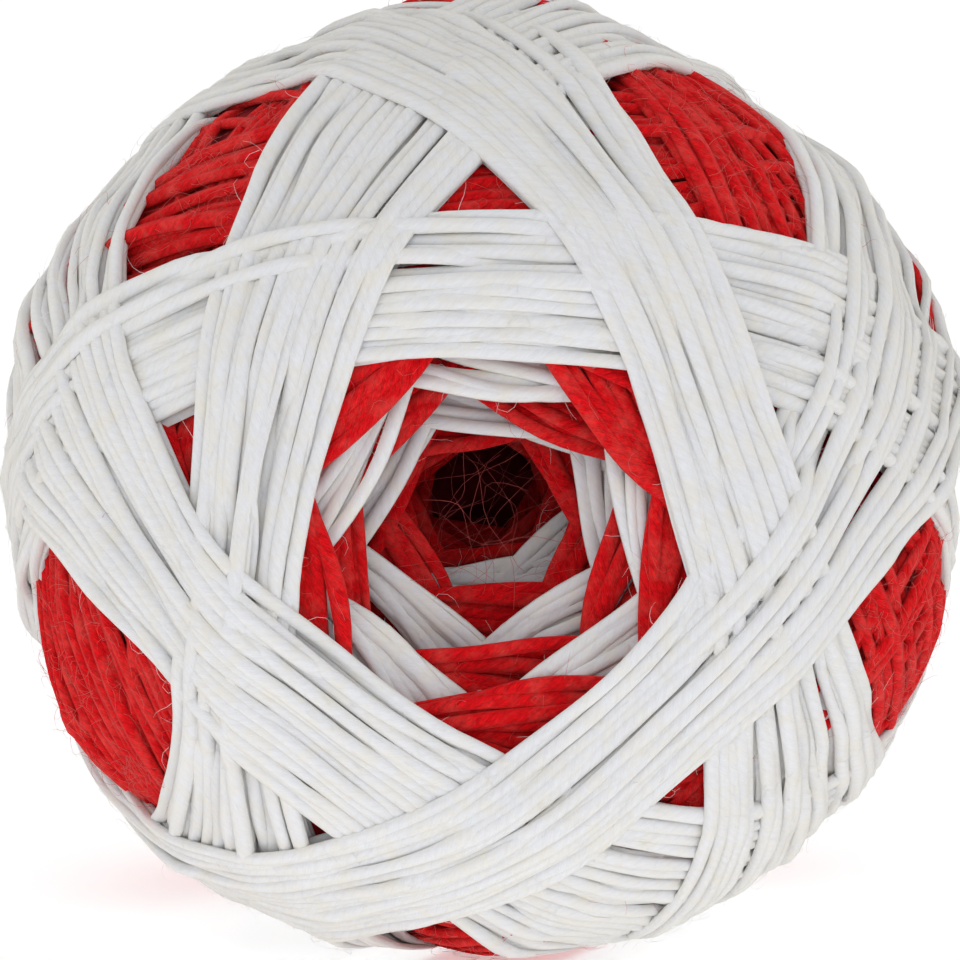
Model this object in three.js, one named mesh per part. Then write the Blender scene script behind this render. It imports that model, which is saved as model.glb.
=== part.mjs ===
import * as THREE from 'three';

// A ball of sock yarn, wound round an open centre. It lies on its side: the winding axis runs
// along Y, with the hole that the yarn is pulled from towards -Y, and a small flat underneath.
// Lengths are in millimetres and angles in degrees. An azimuth is counted round the axis from
// +X towards +Z, as seen from the end with the hole.

// Oval that the layer under the outer bands fills
const OVAL_RADIUS = 44.2;
const OVAL_HALF_LENGTH = 56;
const SHOULDER_FULLNESS = 2.3; // 2 is an ellipsoid, more is squarer

// Underside that the ball rests on
const FLAT_DEPTH = 0.9;
const FLAT_MARGIN = 10; // the bands sink away within this distance of the middle
const FLAT_BLEND = 16;
const FLAT_SLENDERNESS = 0.7; // the flat's width as a share of its length along the ball

// Bands of yarn wound last, which stand proud of the layer beneath
const BAND_RISE = 2.4;
const BAND_THINNEST = 0.5; // share of the rise that is left where a band fans out
const BAND_EDGE = 2; // width of the slope at a band's edge
const CROSSING_SHARE = 0.5; // share of the lower band's rise that shows through the upper one
const BAND_STEP = 5; // degrees between the places where a band's width is worked out

// Each band crosses the front between a near edge, beside the hole, and a far edge. Azimuth and
// reach give the point of the edge closest to the axis. Before and after are the angles that it
// sweeps round the axis from the side of the ball to that point, and on to the side again.
const BAND_EDGES = [
  { band: 'top', edge: 'near', azimuth: 88, reach: 18.8, before: 108, after: 110 },
  { band: 'top', edge: 'far', azimuth: 92, reach: 29, before: 84, after: 80 },
  { band: 'left', edge: 'near', azimuth: 168, reach: 18.5, before: 112, after: 100 },
  { band: 'left', edge: 'far', azimuth: 178, reach: 25.5, before: 88, after: 54 },
  { band: 'lower left', edge: 'near', azimuth: 236, reach: 17.5, before: 106, after: 106 },
  { band: 'lower left', edge: 'far', azimuth: 222, reach: 28.5, before: 50, after: 68 },
  { band: 'lower right', edge: 'near', azimuth: 316, reach: 16, before: 108, after: 104 },
  { band: 'lower right', edge: 'far', azimuth: 316, reach: 27.5, before: 88, after: 54 },
  { band: 'right', edge: 'near', azimuth: 14, reach: 17.5, before: 92, after: 114 },
  { band: 'right', edge: 'far', azimuth: 20, reach: 27, before: 58, after: 70 },
];
const BACK_NEAR_REACH = 17;
const BACK_FAR_REACH = 28;

// Mouth of the hole, a rounded star with one side for each band
const MOUTH_REACH = 17.5;
const STAR_SHARPNESS = 7;
const STAR_FADE_REACH = 30; // the bands' own shape takes over from the star here

// Steps down into the hole: chords of yarn, each ring turned against the one above. Depth is
// below the lip, reach the distance of the chords from the axis, and drop the height of the step.
const FUNNEL = [
  { depth: 1.4, reach: 17.2, turn: 0, drop: 3.6 },
  { depth: 7, reach: 14.8, turn: 36, drop: 3.8 },
  { depth: 13, reach: 12.4, turn: 0, drop: 4.2 },
  { depth: 20, reach: 10.2, turn: 36, drop: 4.8 },
  { depth: 28, reach: 8.2, turn: 0, drop: 5.4 },
  { depth: 37, reach: 6.6, turn: 36, drop: 6 },
];
const STEP_LEAN = 0.3; // each step is this much narrower at its foot

// Round wall of the hole under the funnel, and the depth of its floor
const HOLE = [
  { depth: 46, reach: 5.8 },
  { depth: 63.6, reach: 5.8 },
  { depth: 65.4, reach: 4.4 },
];
const FLOOR_DEPTH = 66;

// The far end is wound shut, with a shallow hollow
const BACK_HOLLOW = [
  { depth: 0.8, reach: 17.2, turn: 0 },
  { depth: 3.4, reach: 16, turn: 0 },
  { depth: 4, reach: 11.6, turn: 36 },
  { depth: 6, reach: 10.8, turn: 36 },
  { depth: 6.4, reach: 6, turn: 0 },
];
const BACK_HOLLOW_DEPTH = 7;

// Fineness of the faces
const COLUMNS = 80;
const OUTER_RINGS = 42;
const LIP_REACH = 18.4;

const YARN_COLOUR = 0xe9e8e4;

const radians = THREE.MathUtils.degToRad;

function axialAt(reach) {
  const share = 1 - (reach / OVAL_RADIUS) ** SHOULDER_FULLNESS;
  return OVAL_HALF_LENGTH * Math.max(share, 0) ** (1 / SHOULDER_FULLNESS);
}

// Distance from the ball's middle to the oval, at an angle from the axis
function ovalAt(angle) {
  const across = (Math.sin(angle) / OVAL_RADIUS) ** SHOULDER_FULLNESS;
  const along = (Math.abs(Math.cos(angle)) / OVAL_HALF_LENGTH) ** SHOULDER_FULLNESS;
  return (across + along) ** (-1 / SHOULDER_FULLNESS);
}

function angleAt(reach) {
  return Math.atan2(reach, axialAt(reach));
}

// A place given by its reach, azimuth and distance along the axis towards the hole
function place(reach, azimuth, axial) {
  return new THREE.Vector3(reach * Math.cos(azimuth), -axial, reach * Math.sin(azimuth));
}

// Where an edge of a band lies when it has gone a given angle past its closest point. It follows
// the cut of a plane through the ball's middle, turned steadily to give the sweep of the table.
function edgePoint(edge, step, end) {
  const tilt = angleAt(edge.reach);
  const gone = radians(step);
  const inward = Math.cos(gone) * Math.sin(tilt);
  const sideways = Math.sin(gone);
  const turn = gone * (1 - (step < 0 ? edge.before : edge.after) / 90);
  const azimuth = radians(edge.azimuth) + Math.atan2(sideways, inward) - turn;
  const angle = Math.atan2(Math.hypot(inward, sideways), Math.cos(gone) * Math.cos(tilt));
  const distance = ovalAt(angle);
  return place(distance * Math.sin(angle), azimuth, end * distance * Math.cos(angle));
}

// Middle line and half width of a band, step by step across one end of the ball
function bandLine(near, far, end) {
  const line = [];
  for (let step = -90; step <= 90; step += BAND_STEP) {
    const inner = edgePoint(near, step, end);
    const outer = edgePoint(far, step, end);
    const middle = inner.clone().add(outer).multiplyScalar(0.5);
    line.push({ middle, half: inner.distanceTo(outer) / 2 });
  }
  const tightest = Math.min(...line.map((entry) => entry.half));
  for (const entry of line) {
    entry.rise = BAND_RISE * Math.max(tightest / entry.half, BAND_THINNEST);
  }
  return line;
}

// The yarn comes round the side and crosses the back from where an edge left the front to where
// its next turn comes in again, so the edge that is near the hole is the far one at the back.
function backEdge(edge, reach) {
  const sweep = (360 - edge.before - edge.after) / 2;
  return { azimuth: edge.azimuth + edge.after + sweep, reach, before: sweep, after: sweep };
}

const bandLines = [];
const frontSides = [];
const backSides = [];
for (let index = 0; index < BAND_EDGES.length; index += 2) {
  const near = BAND_EDGES[index];
  const far = BAND_EDGES[index + 1];
  const backNear = backEdge(far, BACK_NEAR_REACH);
  bandLines.push(bandLine(near, far, 1));
  bandLines.push(bandLine(backNear, backEdge(near, BACK_FAR_REACH), -1));
  frontSides.push(near);
  backSides.push(backNear);
}

// Rise of one band over a place on the oval
function riseOf(line, point) {
  let best = 0;
  const segment = new THREE.Line3();
  const closest = new THREE.Vector3();
  for (let index = 1; index < line.length; index += 1) {
    const from = line[index - 1];
    const to = line[index];
    segment.set(from.middle, to.middle);
    const along = segment.closestPointToPointParameter(point, true);
    segment.at(along, closest);
    const half = THREE.MathUtils.lerp(from.half, to.half, along);
    const rise = THREE.MathUtils.lerp(from.rise, to.rise, along);
    const outside = closest.distanceTo(point) - half;
    const cover = 1 - THREE.MathUtils.smoothstep(outside, -BAND_EDGE / 2, BAND_EDGE / 2);
    best = Math.max(best, rise * cover);
  }
  return best;
}

// Height of the bands over a place on the oval, less where the ball rests
function reliefAt(point) {
  const rises = bandLines.map((line) => riseOf(line, point)).sort((one, other) => other - one);
  const relief = rises[0] + CROSSING_SHARE * rises[1];
  if (point.z > 0) {
    return relief;
  }
  const fromMiddle = Math.hypot(point.x, point.y * FLAT_SLENDERNESS);
  return relief * THREE.MathUtils.smoothstep(fromMiddle, FLAT_MARGIN, FLAT_MARGIN + FLAT_BLEND);
}

// Reach at an azimuth of the star that the near edges leave open, as a share of its smallest reach
function starAt(sides, azimuth, turn) {
  let sum = 0;
  for (const side of sides) {
    const facing = Math.cos(azimuth - radians(side.azimuth + turn));
    sum += Math.max(facing / side.reach, 0) ** STAR_SHARPNESS;
  }
  return sum ** (-1 / STAR_SHARPNESS) / MOUTH_REACH;
}

function ring(makePoint) {
  const points = [];
  for (let column = 0; column < COLUMNS; column += 1) {
    points.push(makePoint((column / COLUMNS) * Math.PI * 2));
  }
  return points;
}

// A ring on the outside of the ball, with the bands raised on it
function outerRing(angle) {
  const distance = ovalAt(angle);
  const plainReach = distance * Math.sin(angle);
  const end = Math.sign(Math.cos(angle));
  const sides = end > 0 ? frontSides : backSides;
  const fade = 1 - THREE.MathUtils.smoothstep(plainReach, LIP_REACH, STAR_FADE_REACH);
  return ring((azimuth) => {
    const reach = plainReach * (1 + (starAt(sides, azimuth, 0) - 1) * fade);
    const axial = fade > 0 ? end * axialAt(reach) : distance * Math.cos(angle);
    const point = place(reach, azimuth, axial);
    const outward = place(
      (reach / OVAL_RADIUS) ** (SHOULDER_FULLNESS - 1) / OVAL_RADIUS,
      azimuth,
      (Math.sign(axial) * (Math.abs(axial) / OVAL_HALF_LENGTH) ** (SHOULDER_FULLNESS - 1)) /
        OVAL_HALF_LENGTH,
    ).normalize();
    return point.addScaledVector(outward, reliefAt(point));
  });
}

// A ring inside one of the two ends, shaped like the star of the bands' near edges
const lip = axialAt(LIP_REACH);
function starRing(sides, turn, reach, axial) {
  return ring((azimuth) => place(reach * starAt(sides, azimuth, turn), azimuth, axial));
}

// Rings from the floor of the hole up its wall and the funnel, over the outside and into the
// hollow of the far end
const rings = [];
for (const step of [...HOLE].reverse()) {
  rings.push(ring((azimuth) => place(step.reach, azimuth, lip - step.depth)));
}
for (const step of [...FUNNEL].reverse()) {
  const foot = lip - step.depth - step.drop;
  rings.push(starRing(frontSides, step.turn, step.reach - STEP_LEAN, foot));
  rings.push(starRing(frontSides, step.turn, step.reach, lip - step.depth));
}
const firstAngle = angleAt(LIP_REACH);
const lastAngle = Math.PI - angleAt(LIP_REACH);
for (let index = 0; index <= OUTER_RINGS; index += 1) {
  rings.push(outerRing(THREE.MathUtils.lerp(firstAngle, lastAngle, index / OUTER_RINGS)));
}
for (const step of BACK_HOLLOW) {
  rings.push(starRing(backSides, step.turn, step.reach, step.depth - lip));
}

const positions = [];
function addPoint(point) {
  positions.push(point.x, point.y, Math.max(point.z, FLAT_DEPTH - OVAL_RADIUS));
}
for (const points of rings) {
  points.forEach(addPoint);
}
const holeFloor = positions.length / 3;
addPoint(place(0, 0, lip - FLOOR_DEPTH));
const backMiddle = positions.length / 3;
addPoint(place(0, 0, BACK_HOLLOW_DEPTH - lip));

const faces = [];
for (let row = 1; row < rings.length; row += 1) {
  for (let column = 0; column < COLUMNS; column += 1) {
    const next = (column + 1) % COLUMNS;
    const low = (row - 1) * COLUMNS;
    const high = row * COLUMNS;
    faces.push(low + column, high + column, high + next);
    faces.push(low + column, high + next, low + next);
  }
}
for (let column = 0; column < COLUMNS; column += 1) {
  const next = (column + 1) % COLUMNS;
  const last = (rings.length - 1) * COLUMNS;
  faces.push(holeFloor, column, next);
  faces.push(backMiddle, last + next, last + column);
}

// The origin is under the middle of the ball, on the surface that it rests on
const geometry = new THREE.BufferGeometry();
geometry.setAttribute('position', new THREE.Float32BufferAttribute(positions, 3));
geometry.setIndex(faces);
geometry.translate(0, 0, OVAL_RADIUS - FLAT_DEPTH);
geometry.computeVertexNormals();

const yarn = new THREE.MeshStandardMaterial({ color: YARN_COLOUR, roughness: 0.95, metalness: 0 });
const ball = new THREE.Mesh(geometry, yarn);
ball.name = 'yarn_ball';

const part = new THREE.Group();
part.name = 'ball_of_sock_yarn';
part.add(ball);

export default part;
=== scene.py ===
import bpy
import numpy as np
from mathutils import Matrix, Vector


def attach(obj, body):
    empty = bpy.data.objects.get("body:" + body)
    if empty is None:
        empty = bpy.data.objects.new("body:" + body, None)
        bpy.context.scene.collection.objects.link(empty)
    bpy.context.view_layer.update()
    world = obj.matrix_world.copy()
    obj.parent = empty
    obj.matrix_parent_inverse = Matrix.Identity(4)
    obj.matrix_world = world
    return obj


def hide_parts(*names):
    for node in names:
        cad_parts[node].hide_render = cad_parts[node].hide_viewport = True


# A ball of self-striping wool sock yarn, wound round an open centre. It lies on its side with
# the winding axis along Y and the hole towards -Y. Sizes are in millimetres, angles in degrees.
# An azimuth is counted round the axis from +X towards +Z, as seen from the end with the hole.
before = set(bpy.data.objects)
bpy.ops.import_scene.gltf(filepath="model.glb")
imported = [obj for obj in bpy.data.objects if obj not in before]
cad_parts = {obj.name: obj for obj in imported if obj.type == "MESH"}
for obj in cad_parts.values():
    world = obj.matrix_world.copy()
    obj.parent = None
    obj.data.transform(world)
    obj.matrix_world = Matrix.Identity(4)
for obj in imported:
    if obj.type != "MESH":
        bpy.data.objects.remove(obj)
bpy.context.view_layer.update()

# Inner winding
# The earlier turns of the same yarn, which fill the ball and line the hole. Wool spun in four
# plies, dyed red here, and wound tight, so that it shows as one ribbed mass, deep between the
# turns over it and down in the hole.
METRES = 0.001
AXIS_HEIGHT = 43.3
CORE_RADIUS = 41.4
CORE_HALF_LENGTH = 51.8
FULLNESS = 2.3  # 2 is an ellipsoid, more is squarer
LIP = 52.6  # where the mouth of the hole lies along the axis
TOP_RADIUS = 46  # the oval that the last turns reach
TOP_HALF_LENGTH = 56
CORE_COLUMNS = 96
CORE_RINGS = 40
CORE_MOUTH = 25  # reach at which the hole's side begins
POLE_REACH = 0.02  # the smallest ring, which keeps the caps' corners apart
# Depth and reach of the hole's side, from its floor out, and of the hollow at the far end, inwards
HOLE_WALL = [(66, 0), (65, 6.2), (46, 7), (38, 8.2), (30, 10.2), (22, 13), (14, 16.5), (9, 20), (6, 23.5)]
FAR_WALL = [(6, 22), (8, 13), (9, 6), (9.4, 0)]
CORE_SHADE = "#5A1214"
CORE_LIGHT = "#B83038"


def linear(colour):
    """An sRGB hex colour as linear red, green, blue and alpha."""
    parts = [int(colour[place:place + 2], 16) / 255 for place in (1, 3, 5)]
    return [part / 12.92 if part <= 0.04045 else ((part + 0.055) / 1.055) ** 2.4 for part in parts] + [1]


def add_node(tree, kind, inputs=None, **settings):
    """Adds a node. Inputs are values, or the sockets that feed them, by the socket's name or number."""
    made = tree.nodes.new(kind)
    for name, value in settings.items():
        setattr(made, name, value)
    for name, value in (inputs or {}).items():
        if isinstance(value, bpy.types.NodeSocket):
            tree.links.new(value, made.inputs[name])
        else:
            made.inputs[name].default_value = value
    return made


def oval_distance(angle):
    """Distance from the ball's middle to the core, at an angle from the axis in radians."""
    across = (np.sin(angle) / CORE_RADIUS) ** FULLNESS
    along = (np.abs(np.cos(angle)) / CORE_HALF_LENGTH) ** FULLNESS
    return (across + along) ** (-1 / FULLNESS)


def tilt_at(reach):
    """Angle from the axis at which the ball's outside has a given reach."""
    axial = TOP_HALF_LENGTH * (1 - (reach / TOP_RADIUS) ** FULLNESS) ** (1 / FULLNESS)
    return np.arctan2(reach, axial)


def rest_on_floor(points, lowest, soft):
    """Presses what would pass below the surface that the ball rests on up into a small flat."""
    height = points[..., 2] + AXIS_HEIGHT
    depth = (height - soft) / (soft - lowest)
    pressed = lowest + (soft - lowest) * np.exp(np.minimum(depth, 0))
    points[..., 2] = np.where(height < soft, pressed, height) - AXIS_HEIGHT
    return points


def to_scene(points):
    """Millimetres from the ball's middle as metres in the scene."""
    return (points + [0, 0, AXIS_HEIGHT]) * METRES


def mesh_object(name, points, faces, edges=()):
    """An object in the scene with a mesh of these points, which are in mm from the ball's middle."""
    mesh = bpy.data.meshes.new(name)
    mesh.from_pydata(to_scene(points).tolist(), list(edges), faces)
    made = bpy.data.objects.new(name, mesh)
    bpy.context.scene.collection.objects.link(made)
    return made


def packed_wool(name, shade, light):
    """Wool wound tight and seen in shadow: matt, mottled, with turns about 1.2 mm apart that run round
    the hole and clumps of fibre about 3 mm across."""
    turn, clump = 0.0012, 0.003
    material = bpy.data.materials.new(name)
    material.use_nodes = True
    tree = material.node_tree
    shader = tree.nodes["Principled BSDF"]
    place = add_node(tree, "ShaderNodeTexCoord")
    across = place.outputs["Object"]
    long = add_node(tree, "ShaderNodeMapping", {"Vector": across, "Scale": (0.3, 1, 0.3)})
    turns = add_node(tree, "ShaderNodeTexNoise",
                     {"Vector": long.outputs[0], "Scale": 1 / turn, "Detail": 2.0})
    clumps = add_node(tree, "ShaderNodeTexNoise", {"Vector": across, "Scale": 1 / clump})
    both = add_node(tree, "ShaderNodeMath", {0: turns.outputs["Fac"], 1: clumps.outputs["Fac"]},
                    operation="MULTIPLY")
    ramp = add_node(tree, "ShaderNodeValToRGB", {"Fac": both.outputs[0]})
    ramp.color_ramp.elements[0].position = 0.15
    ramp.color_ramp.elements[0].color = linear(shade)
    ramp.color_ramp.elements[1].position = 0.45
    ramp.color_ramp.elements[1].color = linear(light)
    bump = add_node(tree, "ShaderNodeBump", {"Height": turns.outputs["Fac"], "Distance": turn / 2})
    tree.links.new(ramp.outputs["Color"], shader.inputs["Base Color"])
    tree.links.new(bump.outputs["Normal"], shader.inputs["Normal"])
    shader.inputs["Roughness"].default_value = 0.95
    shader.inputs["Specular IOR Level"].default_value = 0.1
    return material


mouth_angle = tilt_at(CORE_MOUTH)
core_angles = np.linspace(mouth_angle, np.pi - mouth_angle, CORE_RINGS)
profile = [(reach, LIP - depth) for depth, reach in HOLE_WALL]
core_distances = oval_distance(core_angles)
profile += list(zip(core_distances * np.sin(core_angles), core_distances * np.cos(core_angles)))
profile += [(reach, depth - LIP) for depth, reach in FAR_WALL]
core_points, core_faces = [], []
for reach, axial in profile:
    for column in range(CORE_COLUMNS):
        around = 2 * np.pi * column / CORE_COLUMNS
        ring = max(reach, POLE_REACH)
        core_points.append((ring * np.cos(around), -axial, ring * np.sin(around)))
for row in range(len(profile) - 1):
    for column in range(CORE_COLUMNS):
        ahead = (column + 1) % CORE_COLUMNS
        low, high = row * CORE_COLUMNS, (row + 1) * CORE_COLUMNS
        core_faces.append((low + column, high + column, high + ahead, low + ahead))
last = (len(profile) - 1) * CORE_COLUMNS
core_faces.append(tuple(range(CORE_COLUMNS)))
core_faces.append(tuple(reversed(range(last, last + CORE_COLUMNS))))
core = mesh_object("inner_winding", np.array(core_points), core_faces)
winding = [core]  # the pieces that are pressed into shape once the ball is wound
core.data.shade_smooth()
core.data.materials.append(packed_wool("packed_wool_in_shadow", CORE_SHADE, CORE_LIGHT))
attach(core, "root")
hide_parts("yarn_ball")

# Red turns
# The length of yarn wound before the white one, dyed red. It went round the ball side by side in
# crossing passes from end to end, and shows in the windows that the white bands leave open.
RED_YARN = "#F8121C"
# Painted shade: this darker red is laid into the valleys between the plies, and also gives the fibres' own
# darker streaks.
RED_STREAK_AND_PAINTED_SHADE = "#A6040E"
RED_TIP = "#F0625A"
RED_SHEEN = 0.35
STRAND_HALF_WIDTH = 0.55  # of the part of a strand that the next one rests on
STRAND_SEAT = 0.34  # height of a strand's middle over what it lies on, soft yarn pressed a little flat
STRAND_GIVE = 0.3  # how far a strand sinks into one that it crosses
STRAND_STEP = 2.0
STRAND_TUCK = np.array([3, 2, 1.2, 0.5, 0.1])  # depth of a strand's last points under the turns round it
CORNER = 4.0  # a strand rounds its corners over about this length
STRAYS = ((22, 1), (5, 0.3))  # length of a strand's waves, and their share of how far it strays
PASS_STEPS = np.arange(-90.0, 90.0, 3.0)
CELL = 0.4  # degrees
surface = np.zeros((int(180 / CELL), int(360 / CELL)))  # height of the yarn laid so far over the core
PIECE_STEPS = 22  # a strand is laid in pieces of so many steps
PIECE_MARGIN = 4  # and each piece follows on smoothly from so many steps to either side of it
TAUT_RADIUS = 24  # a taut strand bridges a dip with at least this radius
TAUT_ROUNDS = 50
RED_STEP = 2.8
RED_WANDER = 0.4  # how far a strand strays sideways
RED_REACHES = 60  # reach at the front and at the far end together
RED_FAR_REACH = (19, 41)
RED_SCATTER = (1.0, 0.15, 1.5)  # of azimuth, reach and sweep
UNDER_RED_TURNS = 56  # turns that lie under the ones that show, with their reach and sweep
UNDER_RED_REACH = (19, 43)
UNDER_RED_SWEEP = (60, 95)
RED_HALF_WIDTH = 0.76
RED_HALF_THICKNESS = 0.5
RED_SIDES = 5
UNEVENNESS, UNEVEN_STEPS = 0.2, 1.5  # share by which a strand's thickness varies, and how quickly
STRAND_APART = 17.3  # by which each strand's pattern starts further along
FIBRE_TIP = 0.3  # thickness of a fibre's tip as a share of its root's
# The red turns that show in the windows: how many lie side by side, the azimuth, reach and sweep to
# each side of the nearest and the farthest one, and the order in which the groups were laid.
RED_LAYERS = [
    {"turns": 30, "near": (98, 20, 68), "far": (96, 40, 54), "order": 5.6},
    {"turns": 20, "near": (20, 30, 60), "far": (26, 44, 50), "order": 6},
    {"turns": 20, "near": (314, 31, 60), "far": (320, 44, 50), "order": 6},
    {"turns": 13, "near": (2, 29, 64), "far": (358, 38, 54), "order": 4.6},
    {"turns": 26, "near": (198, 26, 62), "far": (208, 44, 50), "order": 5.6},
    {"turns": 24, "near": (268, 24, 70), "far": (272, 45, 50), "order": 3},
    {"turns": 19, "near": (170, 21, 72), "far": (162, 37, 58), "order": 4.6},
]
chance = np.random.default_rng(7)


def wool(name, yarn, shade, tip, sheen):
    """Worsted wool yarn of four plies, matt with a soft halo. The plies show as faint slanting ridges and
    the fibres as fine streaks, drawn about three times as coarse as real ones so that they show."""
    plies, pitch, radius, ridge_share = 4, 5.0, 0.5, 0.09
    streak, streak_shape, mottle = 0.07, 0.09, 420.0  # a streak's width, and its width over its length
    material = bpy.data.materials.new(name)
    material.use_nodes = True
    tree = material.node_tree
    shader = tree.nodes["Principled BSDF"]
    strand = add_node(tree, "ShaderNodeAttribute", attribute_name="strand").outputs["Vector"]
    along = add_node(tree, "ShaderNodeSeparateXYZ", {0: strand}).outputs["Z"]
    twist = add_node(tree, "ShaderNodeMath", {0: along, 1: 2 * np.pi / pitch}, operation="MULTIPLY")
    straight = add_node(tree, "ShaderNodeVectorRotate", {"Vector": strand, "Angle": twist.outputs[0]},
                        rotation_type="Z_AXIS")
    parts = add_node(tree, "ShaderNodeSeparateXYZ", {0: straight.outputs[0]})
    around = add_node(tree, "ShaderNodeMath", {0: parts.outputs["Y"], 1: parts.outputs["X"]},
                      operation="ARCTAN2")
    lobe = add_node(tree, "ShaderNodeMath", {0: around.outputs[0], 1: plies / 2}, operation="MULTIPLY")
    wave = add_node(tree, "ShaderNodeMath", {0: lobe.outputs[0]}, operation="SINE")
    ridge = add_node(tree, "ShaderNodeMath", {0: wave.outputs[0]}, operation="ABSOLUTE")
    stretch = add_node(tree, "ShaderNodeVectorMath", {0: straight.outputs[0]}, operation="MULTIPLY")
    stretch.inputs[1].default_value = (radius / streak, radius / streak, streak_shape / streak)
    streaks = add_node(tree, "ShaderNodeTexNoise", {"Vector": stretch.outputs[0], "Scale": 1.0,
                                                    "Detail": 4.0, "Roughness": 0.65})
    place = add_node(tree, "ShaderNodeTexCoord")
    patches = add_node(tree, "ShaderNodeTexNoise", {"Vector": place.outputs["Object"], "Scale": mottle,
                                                    "Detail": 4.0, "Roughness": 0.65})
    # Painted shade: the colour runs from the yarn's own towards the darker one where the plies dip, as well
    # as along the fibres' own darker streaks.
    height = add_node(tree, "ShaderNodeMath",
                      {0: ridge.outputs[0], 1: ridge_share, 2: streaks.outputs["Fac"]},
                      operation="MULTIPLY_ADD")
    body = add_node(tree, "ShaderNodeValToRGB", {"Fac": height.outputs[0]})
    body.color_ramp.elements[0].position = 0.35
    body.color_ramp.elements[0].color = linear(shade)
    body.color_ramp.elements[1].position = 0.7
    body.color_ramp.elements[1].color = linear(yarn)
    lit = add_node(tree, "ShaderNodeMapRange", {"Value": patches.outputs["Fac"], "From Min": 0.45,
                                                "From Max": 0.8, "To Max": 0.6})
    tipped = add_node(tree, "ShaderNodeMixRGB", {"Fac": lit.outputs["Result"],
                                                 "Color1": body.outputs["Color"], "Color2": linear(tip)})
    bump = add_node(tree, "ShaderNodeBump",
                    {"Height": height.outputs[0], "Strength": 0.7, "Distance": 0.0001})
    tree.links.new(tipped.outputs["Color"], shader.inputs["Base Color"])
    tree.links.new(bump.outputs["Normal"], shader.inputs["Normal"])
    shader.inputs["Roughness"].default_value = 0.9
    shader.inputs["Diffuse Roughness"].default_value = 1
    shader.inputs["Specular IOR Level"].default_value = 0.15
    shader.inputs["Sheen Weight"].default_value = sheen
    shader.inputs["Sheen Roughness"].default_value = 0.5
    shader.inputs["Sheen Tint"].default_value = linear(tip)
    return material


def smoothed(values, width):
    """Values along a strand, averaged with their neighbours. Width is in steps."""
    reach = int(3 * width) + 1
    weights = np.exp(-0.5 * (np.arange(-reach, reach + 1) / width) ** 2)
    flat = values.reshape(len(values), -1)
    padded = np.pad(flat, ((reach, reach), (0, 0)), mode="edge")
    weights /= weights.sum()
    kept = [np.convolve(padded[:, part], weights, "valid") for part in range(flat.shape[1])]
    return np.stack(kept, 1).reshape(values.shape)


def unit(vectors):
    """The same directions with length 1."""
    return vectors / np.linalg.norm(vectors, axis=-1, keepdims=True)


def angles_of(directions):
    """Angle from the axis and azimuth of each direction, in radians."""
    return np.arccos(np.clip(-directions[:, 1], -1, 1)), np.arctan2(directions[:, 2], directions[:, 0])


def end_pass(azimuth, reach, before, after, end=1):
    """Directions of a strand across one end of the ball, from side to side. Azimuth and reach give
    its point closest to the axis, before and after the angles that it sweeps round the axis."""
    tilt = tilt_at(reach)
    gone = np.radians(PASS_STEPS)
    inward, sideways = np.cos(gone) * np.sin(tilt), np.sin(gone)
    turn = gone * (1 - np.where(PASS_STEPS < 0, before, after) / 90)
    round_axis = np.radians(azimuth) + np.arctan2(sideways, inward) - turn
    from_axis = np.arctan2(np.hypot(inward, sideways), np.cos(gone) * np.cos(tilt))
    across = np.sin(from_axis)
    return np.stack([across * np.cos(round_axis), -end * np.cos(from_axis), across * np.sin(round_axis)], 1)


def on_core(directions, height=0.0):
    """Points at a height over the core."""
    angle = angles_of(directions)[0]
    return directions * (oval_distance(angle) + height)[:, None]


def even_steps(directions, times, wander, step=STRAND_STEP):
    """The strand with even steps and rounded corners, straying sideways by about wander."""
    points = on_core(directions)
    length = np.concatenate([[0], np.cumsum(np.linalg.norm(np.diff(points, axis=0), axis=1))])
    places = np.arange(0, length[-1], step)
    points = np.stack([np.interp(places, length, points[:, part]) for part in range(3)], 1)
    points = smoothed(points, CORNER / step)
    aside = np.cross(unit(points), unit(np.gradient(points, axis=0)))
    stray = np.zeros(len(points))
    for wave, share in STRAYS:
        level = np.sqrt(wave / step * 3.5)  # averaging makes the waves this much lower
        stray += smoothed(chance.normal(0, 1, len(points)), wave / step) * level * (share * wander)
    return unit(points + aside * stray[:, None]), np.interp(places, length, times)


def cells_of(directions):
    """Rows and columns of the height map in which directions lie."""
    angle, azimuth = angles_of(directions)
    rows = np.clip((np.degrees(angle) / CELL).astype(int), 0, surface.shape[0] - 1)
    return rows, (np.degrees(azimuth) / CELL).astype(int) % surface.shape[1]


def taut(under):
    """Heights of a strand pulled tight over what lies under it."""
    sag = STRAND_STEP ** 2 / (2 * TAUT_RADIUS)
    height = under.copy()
    for _ in range(TAUT_ROUNDS):
        height[1:-1] = np.maximum(under[1:-1], (height[:-2] + height[2:]) / 2 - sag)
    return height


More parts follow.
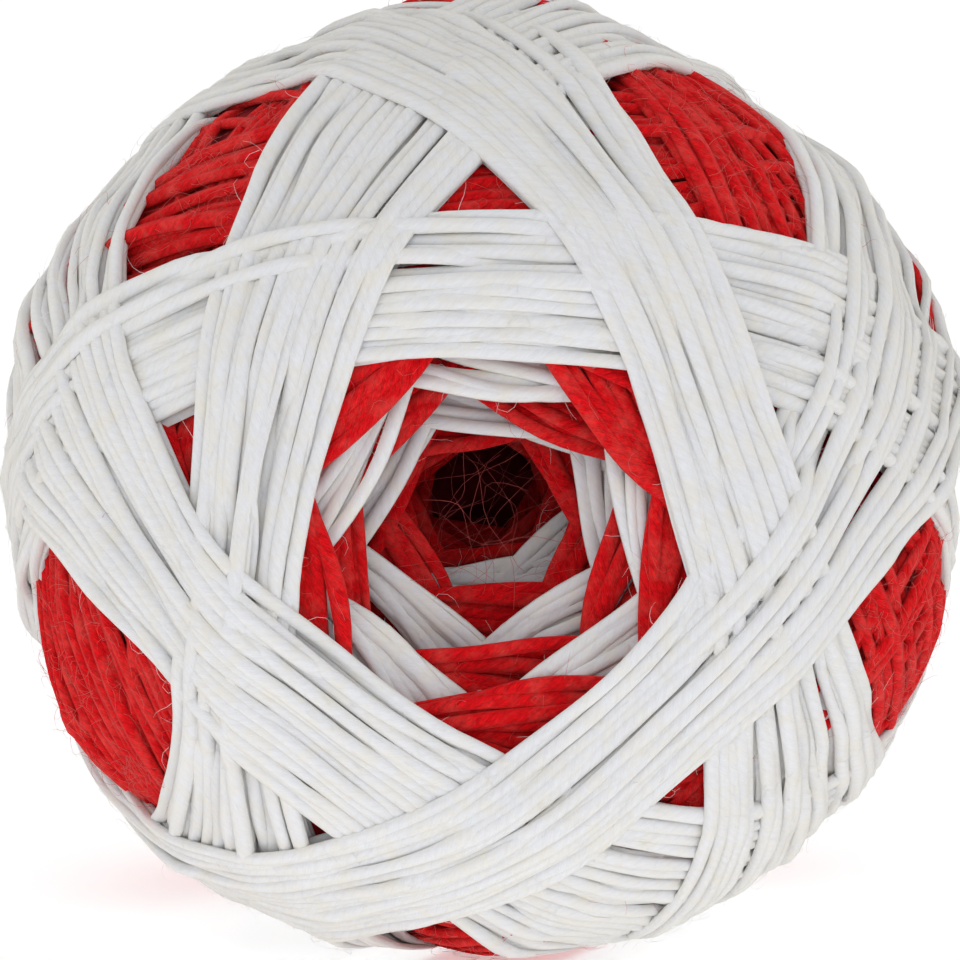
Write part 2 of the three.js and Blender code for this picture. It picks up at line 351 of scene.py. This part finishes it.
def lay(strands):
    """Lays strands on the ball, a short piece at a time in the order of its time, and gives the
    height of each strand's middle over the core."""
    heights = [np.zeros(len(directions)) for directions, _ in strands]
    pieces = []
    for index, (directions, times) in enumerate(strands):
        for start in range(0, len(directions) - 1, PIECE_STEPS):
            pieces.append((times[start:start + PIECE_STEPS].mean(), index, start))
    offsets = np.array([-0.6, -0.3, 0, 0.3, 0.6])  # places across a strand, in half widths
    crown = STRAND_SEAT * np.sqrt(1 - offsets ** 2)  # how far its rounded top rises there
    finer = np.linspace(0, 1, 5, endpoint=False)  # places between two of its points
    nearby = np.array([-0.4, -0.2, 0, 0.2, 0.4])  # places round a point, in steps
    for _, index, start in sorted(pieces):
        directions = strands[index][0]
        low = max(start - PIECE_MARGIN, 0)
        high = min(start + PIECE_STEPS + PIECE_MARGIN + 1, len(directions))
        course = directions[low:high]
        between = course[:, None] + np.gradient(course, axis=0)[:, None] * nearby[None, :, None]
        under = surface[cells_of(unit(between.reshape(-1, 3)))].reshape(len(course), -1).max(1)
        under = taut(np.maximum(smoothed(under, 1.0), under - STRAND_GIVE))
        own = (under + STRAND_SEAT)[start - low:start - low + PIECE_STEPS + 1]
        heights[index][start:start + len(own)] = own
        points = on_core(directions[start:start + len(own)], own)
        aside = np.cross(unit(points), unit(np.gradient(points, axis=0))) * STRAND_HALF_WIDTH
        for share in finer:
            middle = points[:-1] + share * np.diff(points, axis=0)
            level = own[:-1] + share * np.diff(own)
            spread = middle[:, None] + aside[:-1, None] * offsets[None, :, None]
            rows, columns = cells_of(unit(spread.reshape(-1, 3)))
            np.maximum.at(surface, (rows, columns), (level[:, None] + crown[None]).ravel())
    return [smoothed(values, 0.8) for values in heights]


def strand_lines(strands, heights):
    """Centre lines of laid strands, with the outward direction at each point. Both ends are tucked in."""
    lines = []
    for (directions, _), values in zip(strands, heights):
        values[:len(STRAND_TUCK)] -= STRAND_TUCK
        values[-len(STRAND_TUCK):] -= STRAND_TUCK[::-1]
        lines.append((on_core(directions, values), directions))
    return lines


def spinning_tree():
    """Geometry nodes that turn centre lines into yarn. The attribute strand holds the place round the
    yarn, as a cosine and a sine, and the place along it in mm."""
    tree = bpy.data.node_groups.new("Yarn round a line", "GeometryNodeTree")
    for name, kind in (("Geometry", "NodeSocketGeometry"), ("Half width", "NodeSocketFloat"),
                       ("Half thickness", "NodeSocketFloat"), ("Sides", "NodeSocketInt"),
                       ("Material", "NodeSocketMaterial")):
        tree.interface.new_socket(name, in_out="INPUT", socket_type=kind)
    tree.interface.new_socket("Geometry", in_out="OUTPUT", socket_type="NodeSocketGeometry")
    given = add_node(tree, "NodeGroupInput").outputs
    line = add_node(tree, "GeometryNodeMeshToCurve", {"Mesh": given["Geometry"]})
    outward = add_node(tree, "GeometryNodeInputNamedAttribute", {"Name": "outward"},
                       data_type="FLOAT_VECTOR")
    turned = add_node(tree, "GeometryNodeSetCurveNormal",
                      {"Curve": line.outputs[0], "Normal": outward.outputs[0]}, mode="FREE")
    circle = add_node(tree, "GeometryNodeCurvePrimitiveCircle",
                      {"Resolution": given["Sides"], "Radius": 1.0})
    corner = add_node(tree, "GeometryNodeInputPosition")
    marked = add_node(tree, "GeometryNodeStoreNamedAttribute",
                      {"Geometry": circle.outputs[0], "Name": "round", "Value": corner.outputs[0]},
                      data_type="FLOAT_VECTOR", domain="POINT")
    size = add_node(tree, "ShaderNodeCombineXYZ",
                    {0: given["Half thickness"], 1: given["Half width"], 2: 1.0})
    section = add_node(tree, "GeometryNodeTransform",
                       {"Geometry": marked.outputs[0], "Scale": size.outputs[0]})
    thickness = add_node(tree, "GeometryNodeInputNamedAttribute", {"Name": "thickness"},
                         data_type="FLOAT")
    tube = add_node(tree, "GeometryNodeCurveToMesh",
                    {"Curve": turned.outputs[0], "Profile Curve": section.outputs[0],
                     "Scale": thickness.outputs[0], "Fill Caps": True})
    along = add_node(tree, "GeometryNodeInputNamedAttribute", {"Name": "along"}, data_type="FLOAT")
    round_it = add_node(tree, "GeometryNodeInputNamedAttribute", {"Name": "round"},
                        data_type="FLOAT_VECTOR")
    parts = add_node(tree, "ShaderNodeSeparateXYZ", {0: round_it.outputs[0]})
    strand = add_node(tree, "ShaderNodeCombineXYZ",
                      {0: parts.outputs[0], 1: parts.outputs[1], 2: along.outputs[0]})
    mapped = add_node(tree, "GeometryNodeStoreNamedAttribute",
                      {"Geometry": tube.outputs[0], "Name": "strand", "Value": strand.outputs[0]},
                      data_type="FLOAT_VECTOR", domain="POINT")
    smooth = add_node(tree, "GeometryNodeSetShadeSmooth", {"Geometry": mapped.outputs[0]})
    real = add_node(tree, "GeometryNodeRealizeInstances", {"Geometry": smooth.outputs[0]})
    finished = add_node(tree, "GeometryNodeSetMaterial",
                        {"Geometry": real.outputs[0], "Material": given["Material"]})
    add_node(tree, "NodeGroupOutput", {"Geometry": finished.outputs[0]})
    return tree


spinning = spinning_tree()


def joined(lines):
    """All points of some centre lines, and their outward directions."""
    return np.concatenate([line[0] for line in lines]), np.concatenate([line[1] for line in lines])


def spin(name, lines, material, half_width, half_thickness, sides, swell_by=0, taper=False):
    """Makes one piece of yarn strands from centre lines and puts it on the ball."""
    points, outward = joined(lines)
    along, thickness, edges, first = [], [], [], 0
    for line, up in lines:
        gone = np.concatenate([[0], np.cumsum(np.linalg.norm(np.diff(line, axis=0), axis=1))])
        along.append(gone + STRAND_APART * len(along))
        even = 1 + UNEVENNESS * smoothed(chance.normal(0, 1, len(line)), UNEVEN_STEPS)
        plump = even * (1 + swell_by * (1 - np.abs(up[:, 1])))
        thickness.append(np.linspace(1, FIBRE_TIP, len(line)) if taper else plump)
        edges += [(place, place + 1) for place in range(first, first + len(line) - 1)]
        first += len(line)
    guide = mesh_object(name + "_guide", points, [], edges)
    for key, kind, part, values in (("outward", "FLOAT_VECTOR", "vector", outward),
                                    ("along", "FLOAT", "value", np.concatenate(along)),
                                    ("thickness", "FLOAT", "value", np.concatenate(thickness))):
        layer = guide.data.attributes.new(key, kind, "POINT")
        layer.data.foreach_set(part, values.astype(np.float32).ravel())
    wrap = guide.modifiers.new("Yarn", "NODES")
    wrap.node_group = spinning
    given = {"Half width": half_width * METRES, "Half thickness": half_thickness * METRES,
             "Sides": sides, "Material": material}
    for socket in spinning.interface.items_tree:
        if socket.in_out == "INPUT" and socket.name in given:
            wrap[socket.identifier] = given[socket.name]
    guide.update_tag()
    made = bpy.data.meshes.new_from_object(guide.evaluated_get(bpy.context.evaluated_depsgraph_get()))
    guide.modifiers.clear()
    bpy.data.objects.remove(guide)
    made.name = name
    piece = bpy.data.objects.new(name, made)
    bpy.context.scene.collection.objects.link(piece)
    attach(piece, "root")
    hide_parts("yarn_ball")
    return piece


def red_turn(azimuth, reach, sweep, order):
    """One whole turn of yarn round the ball, across the front and across the back."""
    front = end_pass(azimuth, reach, sweep, sweep)
    far_reach = np.clip(RED_REACHES - reach, *RED_FAR_REACH)
    back = end_pass(azimuth + 180, far_reach, 180 - sweep, 180 - sweep, -1)
    directions = np.concatenate([front, back, front[:1]])
    return even_steps(directions, np.full(len(directions), order), RED_WANDER, RED_STEP)


red_wool = wool("four_ply_wool_dyed_red", RED_YARN, RED_STREAK_AND_PAINTED_SHADE, RED_TIP, RED_SHEEN)
red_strands = []
for turn in range(UNDER_RED_TURNS):
    azimuth, reach = chance.uniform(0, 360), chance.uniform(*UNDER_RED_REACH)
    red_strands.append(red_turn(azimuth, reach, chance.uniform(*UNDER_RED_SWEEP), turn))
winding.append(spin("red_turns_under", strand_lines(red_strands, lay(red_strands)), red_wool,
                    RED_HALF_WIDTH, RED_HALF_THICKNESS, RED_SIDES))
red_strands = []
for layer in RED_LAYERS:
    near, far = np.array(layer["near"], float), np.array(layer["far"], float)
    for share in np.linspace(0, 1, layer["turns"]):
        azimuth, reach, sweep = near + share * (far - near) + chance.normal(0, RED_SCATTER)
        red_strands.append(red_turn(azimuth, reach, sweep, layer["order"] + chance.uniform(0, 1)))
red_lines = strand_lines(red_strands, lay(red_strands))
winding.append(spin("red_turns", red_lines, red_wool,
                    RED_HALF_WIDTH, RED_HALF_THICKNESS, RED_SIDES))

# White bands
# The last length of yarn, undyed white. Each of five bands was wound turn by turn past the hole,
# round the side and across the far end. The later of two crossing passes lies on top.
WHITE_YARN = "#EFF1F4"
# Painted shade: this greyer white is laid into the valleys between the plies, and also gives the fibres'
# own darker streaks.
WHITE_STREAK_AND_PAINTED_SHADE = "#E6E5E8"
WHITE_TIP = "#EEE8D6"
WHITE_SHEEN = 0.8
BAND_TURNS = 16
WHITE_HALF_WIDTH = 0.76
WHITE_HALF_THICKNESS = 0.46
SIDE_SWELL = 0.3  # share by which a strand plumps up where it runs slack along the ball's side
BACK_NEAR_REACH = 17
BACK_FAR_REACH = 28
BACK_LAST = 14  # order of the last turns at the far end
ORDER_AT = [-75, 0, 75]  # steps of a pass at which its order is given
# Near and far edge of each band: azimuth, reach, sweep before, sweep after. Then the order in which
# its turns were laid at its start, middle and end, for the turns at the near and the far edge.
BANDS = [
    {"band": "top", "near": (88, 18.8, 108, 115), "far": (90, 29.6, 76, 92),
     "near_order": (9, 6, 3), "far_order": (5, 6, 12)},
    {"band": "left", "near": (168, 18.2, 112, 105), "far": (181, 26.5, 88, 44),
     "near_order": (8, 7, 4), "far_order": (8, 7, 9)},
    {"band": "lower left", "near": (236, 17.5, 114, 106), "far": (222, 29.5, 42, 68),
     "near_order": (10, 8, 5), "far_order": (5, 8, 5)},
    {"band": "lower right", "near": (316, 16, 108, 107), "far": (316, 27.5, 88, 54),
     "near_order": (14, 9, 1), "far_order": (14, 17, 12)},
    {"band": "right", "near": (14, 17.5, 95, 114), "far": (20, 27, 58, 67),
     "near_order": (7.5, 10, 14), "far_order": (7.5, 10, 6)},
]
# The lower turns lie half a turn aside of the upper ones. Each row has the turns of a band, how far
# they lie aside, how unevenly they are spaced, how far a strand strays, and the sides of its section.
WHITE_LAYERS = [
    ("white_bands_under", BAND_TURNS - 1, 0.5, 0.2, 0.35, 5),
    ("white_bands", BAND_TURNS, 0, 0.15, 0.2, 7),
]


def wind_band(band, turns, aside, jitter):
    """The whole yarn of one band, turn after turn, and the order in which it was laid."""
    near, far = np.array(band["near"], float), np.array(band["far"], float)
    directions, times = [], []
    for turn in np.arange(turns) + aside:
        places = np.array([turn, turn + 1]) + chance.normal(0, jitter, 2)
        share, ahead = np.clip(places / (BAND_TURNS - 1), 0, 1)
        edge, next_edge = near + share * (far - near), near + ahead * (far - near)
        front_order = np.array(band["near_order"]) * (1 - share) + np.array(band["far_order"]) * share
        directions.append(end_pass(*edge))
        times.append(np.interp(PASS_STEPS, ORDER_AT, front_order))
        sweep = (360 + next_edge[0] - next_edge[2] - edge[0] - edge[3]) / 2
        reach = BACK_FAR_REACH + share * (BACK_NEAR_REACH - BACK_FAR_REACH)
        directions.append(end_pass(edge[0] + edge[3] + sweep, reach, sweep, sweep, -1))
        back_order = [front_order[2], BACK_LAST * share, front_order[0]]
        times.append(np.interp(PASS_STEPS, ORDER_AT, back_order))
    return np.concatenate(directions), np.concatenate(times)


white_wool = wool("four_ply_wool_undyed_white", WHITE_YARN, WHITE_STREAK_AND_PAINTED_SHADE, WHITE_TIP, WHITE_SHEEN)
for piece_name, turns, aside, jitter, wander, sides in WHITE_LAYERS:  # the turns that show come last
    strands = [even_steps(*wind_band(band, turns, aside, jitter), wander) for band in BANDS]
    white_lines = strand_lines(strands, lay(strands))
    winding.append(spin(piece_name, white_lines, white_wool,
                        WHITE_HALF_WIDTH, WHITE_HALF_THICKNESS, sides, SIDE_SWELL))

# Pressing
# The finished ball is squeezed between the hands into an even oval, so that no crossing stands far
# out, and its own weight presses a small flat where it rests.
EVENED = 0.95  # share of the unevenness that pressing takes away
PRESSED_WITHIN = 0.11  # radians round about that a hand presses at once
PRESSED_FROM, PRESSED_FADE = 0.8, 0.15  # what lies deeper than this share of the core stays where it is
PRESSED_LEVEL = 3.2  # height of the winding's outside over the core after pressing
FLOOR_SOFTNESS = 3.0  # height below which the yarn is pressed up from the floor


def blurred(heights):
    """Heights averaged over a hand's width. Rows run from end to end and columns round the ball."""
    turns = np.arange(heights.shape[1] // 2 + 1)
    angles = np.radians((np.arange(heights.shape[0]) + 0.5) * CELL)
    widths = PRESSED_WITHIN / np.maximum(np.sin(angles), 0.1)
    fading = np.exp(-0.5 * (turns * widths[:, None]) ** 2)
    round_it = np.fft.irfft(np.fft.rfft(heights) * fading, heights.shape[1])
    near = np.exp(-0.5 * ((angles - angles[:, None]) / PRESSED_WITHIN) ** 2) * np.sin(angles)
    return near @ round_it


covered = np.maximum(blurred((surface > 0) * 1.0), 1e-9)
swell = EVENED * (blurred(surface) / covered - PRESSED_LEVEL)


def pressed(points):
    """Points on or near the ball's outside, moved as the pressing moves them."""
    distance = np.linalg.norm(points, axis=1)
    angle, azimuth = angles_of(points / distance[:, None])
    row = np.clip(np.degrees(angle) / CELL - 0.5, 0, len(swell) - 1.001)
    column = np.degrees(azimuth) / CELL - 0.5
    low, left = row.astype(int), np.floor(column).astype(int)
    down, across = row - low, column - left
    left, right = left % swell.shape[1], (left + 1) % swell.shape[1]
    upper = swell[low, left] * (1 - across) + swell[low, right] * across
    lower = swell[low + 1, left] * (1 - across) + swell[low + 1, right] * across
    outside = np.clip((distance / oval_distance(angle) - PRESSED_FROM) / PRESSED_FADE, 0, 1)
    moved = points * (1 - outside * (upper * (1 - down) + lower * down) / distance)[:, None]
    return rest_on_floor(moved, 0, FLOOR_SOFTNESS)


for piece in winding:
    places = np.zeros(len(piece.data.vertices) * 3)
    piece.data.vertices.foreach_get("co", places)
    places = places.reshape(-1, 3) / METRES - [0, 0, AXIS_HEIGHT]
    piece.data.vertices.foreach_set("co", to_scene(pressed(places)).ravel())

# Turns round the hole
# Older turns of the yarn's red and white lengths, which the outer ones leave bare round the hole and
# in the hollow at the far end. Groups of strands pass the middle like chords and dip under those above.
# A group has a colour, the azimuth, reach and depth of its first strand, and a number of strands.
HOLE_TURNS = [
    ("red", 135, 15.7, 3.8, 6), ("red", 40, 13.8, 3.8, 6), ("red", 357, 13.8, 4.4, 5),
    ("red", 191, 14.5, 4, 5), ("red", 278, 13.5, 4.4, 7),
    ("white", 86, 13.1, 5.6, 6), ("white", 157, 12.8, 6, 4), ("white", 231, 12.4, 6.2, 6),
    ("white", 311, 11.9, 5.6, 5), ("white", 11, 12.2, 6.2, 4),
    ("red", 270, 10.2, 9, 7), ("red", 189, 11.6, 9.4, 4), ("red", 344, 10.2, 9.8, 5),
    ("red", 132, 12.2, 9.2, 4), ("red", 65, 11, 9.6, 4),
    ("white", 88, 9.5, 13, 5), ("white", 151, 9.3, 13.4, 2), ("white", 232, 8.4, 13.6, 5),
    ("white", 305, 8.4, 13, 5), ("white", 11, 9.2, 13.8, 4), ("white", 63, 9.8, 13.4, 2),
    ("red", 271, 6.2, 19, 5), ("red", 341, 7.3, 19.4, 4), ("red", 215, 7, 19.6, 5),
    ("red", 31, 6.8, 19.2, 4), ("red", 153, 8, 19.4, 5), ("red", 100, 7.5, 19, 5),
    ("white", 272, 5.2, 26, 4), ("white", 313, 5.3, 26.4, 3), ("white", 29, 7.6, 26.6, 4),
    ("red", 200, 6.8, 26.2, 5), ("red", 120, 6.8, 26.4, 5),
    ("red", 275, 5.2, 34, 4), ("red", 347, 5.8, 34.5, 5), ("red", 60, 5.8, 34.2, 5),
    ("red", 131, 5.8, 34.8, 5), ("red", 203, 5.8, 34.4, 5),
    ("red", 240, 5.6, 44, 5), ("red", 312, 5.6, 44.5, 5), ("red", 24, 5.6, 44.2, 5),
    ("red", 96, 5.6, 44.8, 5), ("red", 168, 5.6, 44.4, 5),
    ("red", 258, 5.2, 55, 4), ("red", 330, 5.2, 55.5, 4), ("red", 42, 5.2, 55.2, 4),
    ("red", 114, 5.2, 55.8, 4), ("red", 186, 5.2, 55.4, 4),
]
FAR_TURNS = [
    ("red", 20, 13, 5.4, 6), ("red", 92, 13, 5.6, 6), ("red", 164, 13, 5.4, 6),
    ("red", 236, 13, 5.8, 6), ("red", 308, 13, 5.6, 6),
    ("white", 56, 9, 7.2, 5), ("white", 128, 9, 7.4, 5), ("white", 200, 9, 7.2, 5),
    ("white", 272, 9, 7.4, 5), ("white", 344, 9, 7.3, 5),
    ("red", 10, 4.5, 8.3, 6), ("red", 82, 4.5, 8.5, 6), ("red", 154, 4.5, 8.3, 6),
    ("red", 226, 4.5, 8.5, 6), ("red", 298, 4.5, 8.4, 6),
    ("red", 30, -6, 8.7, 15), ("red", 105, -6, 9.1, 15),
]
CHORD_PITCH = 0.8
CHORD_FAN = 3.4  # degrees by which each strand of a group turns away from the one before
CHORD_LAYER = 0.5  # depth of a group's lower strands under its upper ones
REACH_SCATTER, DEPTH_SCATTER, AZIMUTH_SCATTER = 0.1, 0.15, 1.5
CHORD_WANDER = 0.9
CHORD_REACH = 20
CHORD_DIP = 0.08
CHORD_STEP = 2.0
CHORD_BOW = 55  # the chords bend towards the hole with this radius
CHORD_HALF_WIDTH = 0.7
CHORD_HALF_THICKNESS = 0.52
CHORD_SIDES = 6
# Which end, its groups, how many strands lie on each other, the radius of the domes that they lie on,
# which is negative in a hollow, and how far from a strand's middle its ends begin to dip under others.
ENDS = [(1, HOLE_TURNS, 2, 36, 11), (-1, FAR_TURNS, 1, -66, 6)]
hole_lines = {"red": [], "white": []}
groups = [(end, layers, dome, seen) + group for end, turns, layers, dome, seen in ENDS for group in turns]
for end, layers, dome, seen, colour, azimuth, reach, depth, count in groups:
    for strand in np.arange(0, count, 1 / layers):
        own_reach = reach + CHORD_PITCH * strand + chance.normal(0, REACH_SCATTER)
        own_depth = depth + CHORD_LAYER * (strand % 1 > 0) + chance.normal(0, DEPTH_SCATTER)
        fanned = azimuth - CHORD_FAN * strand * (layers - 1)
        turned = np.radians(fanned + chance.normal(0, AZIMUTH_SCATTER))
        gone = np.arange(-CHORD_REACH, CHORD_REACH, CHORD_STEP)
        bow = smoothed(chance.normal(0, CHORD_WANDER, (len(gone), 2)), 2)
        across, sideways = own_reach + bow[:, 0] + gone ** 2 / (2 * CHORD_BOW), gone
        radial = np.hypot(across, sideways)
        dip = CHORD_DIP * np.maximum(np.abs(gone) - seen, 0) ** 2
        axial = LIP - own_depth - (radial ** 2 - reach ** 2) / (2 * dome) - dip + bow[:, 1]
        points = np.stack([across * np.cos(turned) - sideways * np.sin(turned), -end * axial,
                           across * np.sin(turned) + sideways * np.cos(turned)], 1)
        hole_lines[colour].append((points, unit(points * [1, 0, 1] / dome - [0, end, 0])))
for colour, yarn in (("red", red_wool), ("white", white_wool)):
    spin("hole_turns_" + colour, hole_lines[colour], yarn,
         CHORD_HALF_WIDTH, CHORD_HALF_THICKNESS, CHORD_SIDES)

# Loose fibres
# Ends of wool that stand out of the spun yarn and make its soft halo. They are about twice as thick
# as real ones, which would be too fine to show, and curl close over the strands.
FIBRE_HALF_WIDTH = 0.024
FIBRE_STEP = 0.75
FIBRE_STEPS = 5
FIBRE_STRETCH = (0.5, 1.3)  # shortest and longest step of a fibre as a share of the usual one
FIBRE_BEND, FIBRE_CURL = 0.35, 0.3  # radians a step that all of it turns, and that this changes by
FIBRE_LEAST_LIFT = 0.2  # share of the most that a fibre stands out by
FIBRE_ARCH = 2.4  # radians of the sine that it rises and falls along
FIBRE_FLOOR = (0.1, 1.0)  # lowest height of a fibre's middle, and where pressing begins
COVERED = 0.35  # depth under the ball's outside from which a strand counts as covered
# Number of fibres on the outer turns and on those round the hole, and how far they stand out at most
RED_FUZZ, RED_HOLE_FUZZ = (5400, 0.6), (1400, 0.7)
WHITE_FUZZ, WHITE_HOLE_FUZZ = (4000, 0.35), (700, 0.5)
HOLE_FIBRES = 24  # long ones that cross the hole
HOLE_FIBRE_STEPS = 14
HOLE_FIBRE_STRAY = 2.4
# Least and most of where such a fibre starts, the angle to its other end, its depth and its reach
HOLE_FIBRE_RANGE = (0, 60, 12, 5.5), (360, 200, 34, 9)
RED_FIBRE = "#E8706A"
WHITE_FIBRE = "#FFFFFF"


def fibre(name, colour):
    """A single wool fibre, which is clear enough to shine paler than the yarn it comes from."""
    mottle, darkest = 300.0, 0.7
    material = bpy.data.materials.new(name)
    material.use_nodes = True
    tree = material.node_tree
    shader = tree.nodes["Principled BSDF"]
    place = add_node(tree, "ShaderNodeTexCoord")
    patches = add_node(tree, "ShaderNodeTexNoise", {"Vector": place.outputs["Object"], "Scale": mottle})
    tone = add_node(tree, "ShaderNodeMapRange", {"Value": patches.outputs["Fac"], "To Min": darkest})
    shaded = add_node(tree, "ShaderNodeMixRGB",
                      {"Fac": 1.0, "Color1": linear(colour), "Color2": tone.outputs["Result"]},
                      blend_type="MULTIPLY")
    tree.links.new(shaded.outputs["Color"], shader.inputs["Base Color"])
    shader.inputs["Roughness"].default_value = 0.6
    return material


def exposed(lines):
    """The points of centre lines that no other strand covers, with their outward directions."""
    points, outward = joined(lines)
    directions = unit(points)
    top = surface[cells_of(directions)] + oval_distance(angles_of(directions)[0])
    bare = np.linalg.norm(points, axis=1) + STRAND_SEAT > top - COVERED
    return pressed(points[bare]), outward[bare]


def loose_fibres(points, outward, count, lift):
    """Centre lines of curling fibres that start on some of these points."""
    chosen = chance.choice(len(points), count)
    lines = []
    for root, up in zip(points[chosen], outward[chosen]):
        across = unit(np.cross(up, chance.normal(0, 1, 3)))
        other = np.cross(up, across)
        bend = chance.normal(0, FIBRE_BEND) + np.cumsum(chance.normal(0, FIBRE_CURL, FIBRE_STEPS))
        heading = np.cumsum(bend)
        stretch = FIBRE_STEP * chance.uniform(*FIBRE_STRETCH)
        run = np.cumsum(np.cos(heading)) * stretch
        aside = np.cumsum(np.sin(heading)) * stretch
        arch = np.sin(np.linspace(0, FIBRE_ARCH, FIBRE_STEPS))
        rise = WHITE_HALF_THICKNESS + lift * chance.uniform(FIBRE_LEAST_LIFT, 1) * arch
        line = root + across * run[:, None] + other * aside[:, None] + up * rise[:, None]
        lines.append((rest_on_floor(line, *FIBRE_FLOOR), np.repeat(up[None], FIBRE_STEPS, 0)))
    return lines


red_fibres = loose_fibres(*exposed(red_lines), *RED_FUZZ)
red_fibres += loose_fibres(*joined(hole_lines["red"]), *RED_HOLE_FUZZ)
white_fibres = loose_fibres(*exposed(white_lines), *WHITE_FUZZ)
white_fibres += loose_fibres(*joined(hole_lines["white"]), *WHITE_HOLE_FUZZ)
for _ in range(HOLE_FIBRES):
    start, span, depth, reach = chance.uniform(*HOLE_FIBRE_RANGE)
    turned = np.radians([start, start + span])
    stray = smoothed(chance.normal(0, HOLE_FIBRE_STRAY, (HOLE_FIBRE_STEPS, 3)), 1.5)
    ends = np.stack([np.cos(turned), np.zeros(2), np.sin(turned)], 1) * reach
    across = np.linspace(ends[0], ends[1], HOLE_FIBRE_STEPS) + stray
    across[:, 1] += depth - LIP
    red_fibres.append((across, np.repeat([[0, -1.0, 0]], HOLE_FIBRE_STEPS, 0)))
red_fibre = fibre("wool_fibre_dyed_red", RED_FIBRE)
white_fibre = fibre("wool_fibre_undyed_white", WHITE_FIBRE)
spin("loose_fibres_red", red_fibres, red_fibre, FIBRE_HALF_WIDTH, FIBRE_HALF_WIDTH, 3, taper=True)
spin("loose_fibres_white", white_fibres, white_fibre, FIBRE_HALF_WIDTH, FIBRE_HALF_WIDTH, 3, taper=True)

# Floor, light and camera
# A plain pale surface under a large soft light, seen along the winding axis from a little above.
FLOOR_SIZE = 12
PAPER, PAPER_GLOW = "#FCFCFC", 0.42
WHITE_LIGHT, ROOM_LIGHT = "#FFFFFF", 0.63
LAMP_SIZE = 0.8
# Each lamp's name, its place in metres and its power in watts
LAMPS = [("key", (-0.15, -1.1, 0.5), 1.7), ("fill", (0.35, -1.2, 0.2), 0.9)]
BALL_RADIUS = 46.0
CAMERA_TURN, CAMERA_RISE, CAMERA_DISTANCE = np.radians(-1.4), np.radians(6.7), 600

bpy.ops.mesh.primitive_plane_add(size=FLOOR_SIZE)
floor = bpy.context.object
floor.name = "floor"
paint = bpy.data.materials.new("pale_matt_paper")  # glows a little, to be as white as the photo's ground
paint.use_nodes = True
paper = paint.node_tree.nodes["Principled BSDF"].inputs
paper["Base Color"].default_value = linear(PAPER)
paper["Roughness"].default_value = 0.9
paper["Emission Color"].default_value = linear(WHITE_LIGHT)
paper["Emission Strength"].default_value = PAPER_GLOW
floor.data.materials.append(paint)

world = bpy.data.worlds.new("studio")
bpy.context.scene.world = world
world.use_nodes = True
world.node_tree.nodes["Background"].inputs["Color"].default_value = linear(WHITE_LIGHT)
world.node_tree.nodes["Background"].inputs["Strength"].default_value = ROOM_LIGHT

for name, place, power in LAMPS:
    lamp = bpy.data.lights.new(name, "AREA")
    lamp.shape = "DISK"
    lamp.size = LAMP_SIZE
    lamp.energy = power
    lamp_object = bpy.data.objects.new(name, lamp)
    bpy.context.scene.collection.objects.link(lamp_object)
    lamp_object.location = place
    aim = np.array([0, 0, AXIS_HEIGHT * METRES]) - np.array(place)
    lamp_object.rotation_mode = "QUATERNION"
    lamp_object.rotation_quaternion = Vector(aim).to_track_quat("-Z", "Y")

camera = bpy.data.cameras.new("camera")
camera_object = bpy.data.objects.new("camera", camera)
bpy.context.scene.collection.objects.link(camera_object)
away = np.array([np.sin(CAMERA_TURN) * np.cos(CAMERA_RISE),
                 -np.cos(CAMERA_TURN) * np.cos(CAMERA_RISE), np.sin(CAMERA_RISE)])
camera_object.location = to_scene(away * CAMERA_DISTANCE)
camera_object.rotation_mode = "QUATERNION"
camera_object.rotation_quaternion = Vector(-away).to_track_quat("-Z", "Y")
tangent = BALL_RADIUS / np.sqrt(CAMERA_DISTANCE ** 2 - BALL_RADIUS ** 2)
camera.sensor_width = 36
camera.lens = camera.sensor_width / 2 / tangent
camera.clip_start = 0.01
bpy.context.scene.camera = camera_object
bpy.context.scene.view_settings.view_transform = "Standard"
